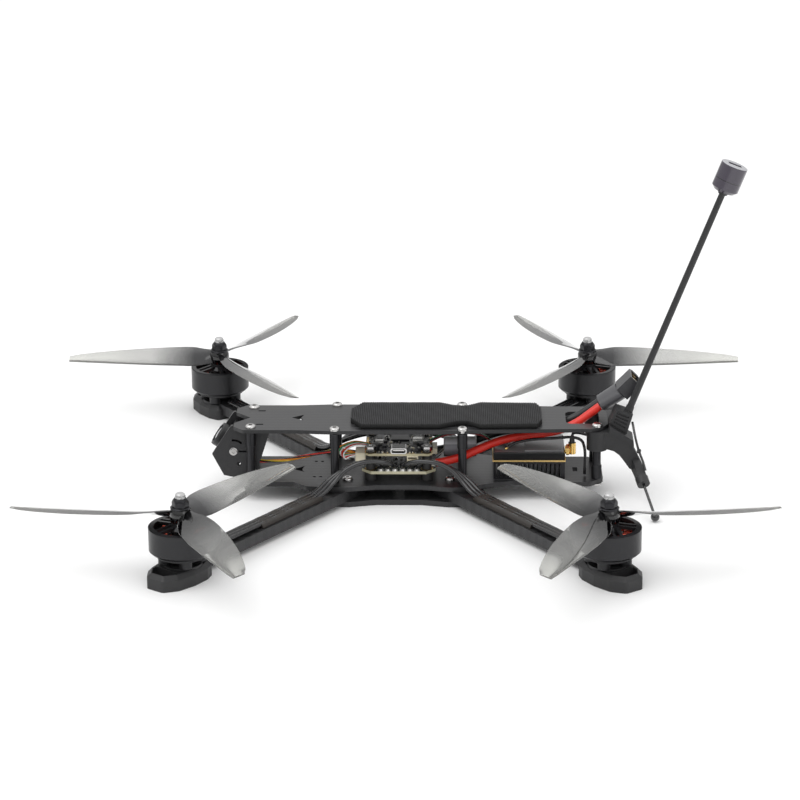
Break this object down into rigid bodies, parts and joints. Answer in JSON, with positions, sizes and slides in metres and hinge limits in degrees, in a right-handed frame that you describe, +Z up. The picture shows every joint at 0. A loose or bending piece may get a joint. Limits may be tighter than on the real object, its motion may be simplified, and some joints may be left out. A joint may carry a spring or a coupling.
{
  "type": "quadcopter drone",
  "caption": "Long-range racing quadcopter: carbon arms and deck plates, board stack, tilting nose camera, smoky three-blade propellers, tail antenna and battery lead.",
  "frame": {"origin": "centre of the bottom plate's underside, midway between the four motors, level with the feet's soles", "axes": "+X towards the tail and its antenna, -X towards the nose camera, -Y to the side that carries the antennas' mount, +Z up along the motor shafts"},
  "size_m": [0.3931, 0.4175, 0.1885],
  "materials": {
    "carbon": "satin",
    "pad_rubber": "matte",
    "black_metal": "satin",
    "steel": "polished",
    "printed_black": "matte",
    "motor_metal": "satin",
    "copper_red": "gloss",
    "smoke": "gloss",
    "nut_black": "satin",
    "wire_black": "gloss",
    "sleeve": "satin",
    "camera_black": "satin",
    "board": "gloss",
    "chip": "matte",
    "solder": "polished",
    "cream": "satin",
    "can_grey": "satin",
    "lead_red": "satin",
    "sheath_grey": "satin",
    "connector_grey": "satin",
    "gold": "polished",
    "vtx_silver": "satin",
    "head_grey": "gloss"
  },
  "bodies": {
    "airframe": {"antenna_base": "printed_black", "antenna_head": "head_grey", "antenna_mount": "printed_black", "antenna_stalk": "camera_black", "arm_front_left": "carbon", "arm_front_right": "carbon", "arm_rear_left": "carbon", "arm_rear_right": "carbon", "battery_lead_black": "wire_black", "battery_lead_red": "lead_red", "battery_pad": "pad_rubber", "board_chips": "chip", "bottom_plate": "carbon", "camera_plate_left": "carbon", "camera_plate_right": "carbon", "camera_wires": "wire_black", "capacitor": "can_grey", "connector_pins": "gold", "connector_sheath": "sheath_grey", "flight_controller": "board", "foot_front_left": "printed_black", "foot_front_right": "printed_black", "foot_rear_left": "printed_black", "foot_rear_right": "printed_black", "frame_bolts": "black_metal", "mid_plate": "carbon", "motor_bases": "motor_metal", "motor_screws": "steel", "motor_windings": "copper_red", "motor_wires": "wire_black", "power_connector": "connector_grey", "receiver_antenna": "wire_black", "solder_joints": "solder", "speed_controller": "board", "stack_grommets": "pad_rubber", "stack_screws": "steel", "standoffs": "black_metal", "top_plate": "carbon", "top_screws": "steel", "usb_port": "solder", "vtx_antenna_lead": "gold", "vtx_body": "vtx_silver", "vtx_heatsink": "black_metal", "wire_plugs": "cream", "wire_sleeves": "sleeve"},
    "prop_front_left": {"rotor_front_left": "motor_metal", "propeller_front_left": "smoke", "prop_nut_front_left": "nut_black"},
    "prop_rear_left": {"rotor_rear_left": "motor_metal", "propeller_rear_left": "smoke", "prop_nut_rear_left": "nut_black"},
    "prop_front_right": {"rotor_front_right": "motor_metal", "propeller_front_right": "smoke", "prop_nut_front_right": "nut_black"},
    "prop_rear_right": {"rotor_rear_right": "motor_metal", "propeller_rear_right": "smoke", "prop_nut_rear_right": "nut_black"},
    "camera": {"camera_body": "camera_black", "camera_lens": "smoke"},
    "button": {"boot_button": "chip"}
  },
  "joints": [
    {"name": "spin_front_left", "type": "hinge", "parent": "airframe", "child": "prop_front_left", "pos_m": [-0.1082, -0.1273, 0.0345], "axis": [0, 0, 1], "continuous": true},
    {"name": "spin_rear_left", "type": "hinge", "parent": "airframe", "child": "prop_rear_left", "pos_m": [0.1082, -0.1273, 0.0345], "axis": [0, 0, 1], "continuous": true},
    {"name": "spin_front_right", "type": "hinge", "parent": "airframe", "child": "prop_front_right", "pos_m": [-0.1082, 0.1273, 0.0345], "axis": [0, 0, 1], "continuous": true},
    {"name": "spin_rear_right", "type": "hinge", "parent": "airframe", "child": "prop_rear_right", "pos_m": [0.1082, 0.1273, 0.0345], "axis": [0, 0, 1], "continuous": true},
    {"name": "camera_tilt", "type": "hinge", "parent": "airframe", "child": "camera", "pos_m": [-0.09, 0, 0.0264], "axis": [0, 1, 0], "range_deg": [-34, 20]},
    {"name": "button_press", "type": "slide", "parent": "airframe", "child": "button", "axis": [0, 0, -1], "range_m": [0, 0.00025], "stiffness_N_per_m": 800, "springref_m": -0.0003}
  ]
}
